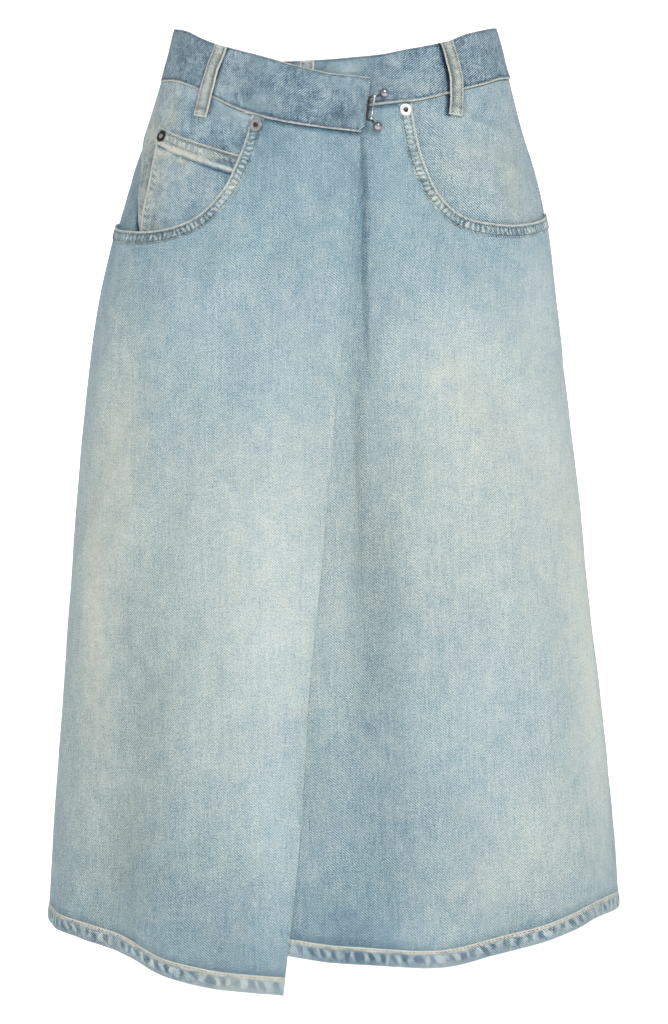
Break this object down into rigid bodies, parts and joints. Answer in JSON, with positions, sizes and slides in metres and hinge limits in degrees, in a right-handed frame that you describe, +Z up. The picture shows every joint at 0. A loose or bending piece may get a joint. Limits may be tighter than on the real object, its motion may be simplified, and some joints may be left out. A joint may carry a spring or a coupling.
{
  "type": "wrap skirt",
  "caption": "A-line denim wrap skirt, filled out and empty: dipped waistband that crosses itself in front, scooped pockets, belt loops, a ball-ended bar at the wrap.",
  "frame": {"origin": "centre of the waist opening, level with the waist seam at the side seams", "axes": "+Z up, -Y the front of the skirt, +X the wearer's left"},
  "size_m": [0.4716, 0.3093, 0.7682],
  "materials": {
    "denim": "faded blue twill, dry and matt",
    "band_denim": "faded blue twill, a little darker, matt",
    "pale_denim": "worn pale twill, matt",
    "metal": "aged, smooth and slightly dark"
  },
  "bodies": {
    "root": {"front_right": "denim", "front_left": "denim", "back_left": "denim", "back_right": "denim", "waistband_right": "band_denim", "waistband_left": "band_denim", "waistband_back": "band_denim", "pocket_facing_right": "denim", "pocket_facing_left": "denim", "pocket_side_right": "denim", "coin_pocket": "pale_denim", "pocket_edge_right": "pale_denim", "pocket_edge_left": "pale_denim", "belt_loop_front_right": "pale_denim", "belt_loop_front_left": "pale_denim", "belt_loop_back_left": "pale_denim", "belt_loop_back_centre": "pale_denim", "belt_loop_back_right": "pale_denim", "belt_loop_under": "pale_denim", "rivet_pocket_right": "metal", "rivet_pocket_left": "metal", "rivet_coin_pocket": "metal", "closure_staple": "metal", "closure_ball_upper": "metal", "closure_ball_lower": "metal", "closure_crossbar": "metal"}
  },
  "joints": []
}
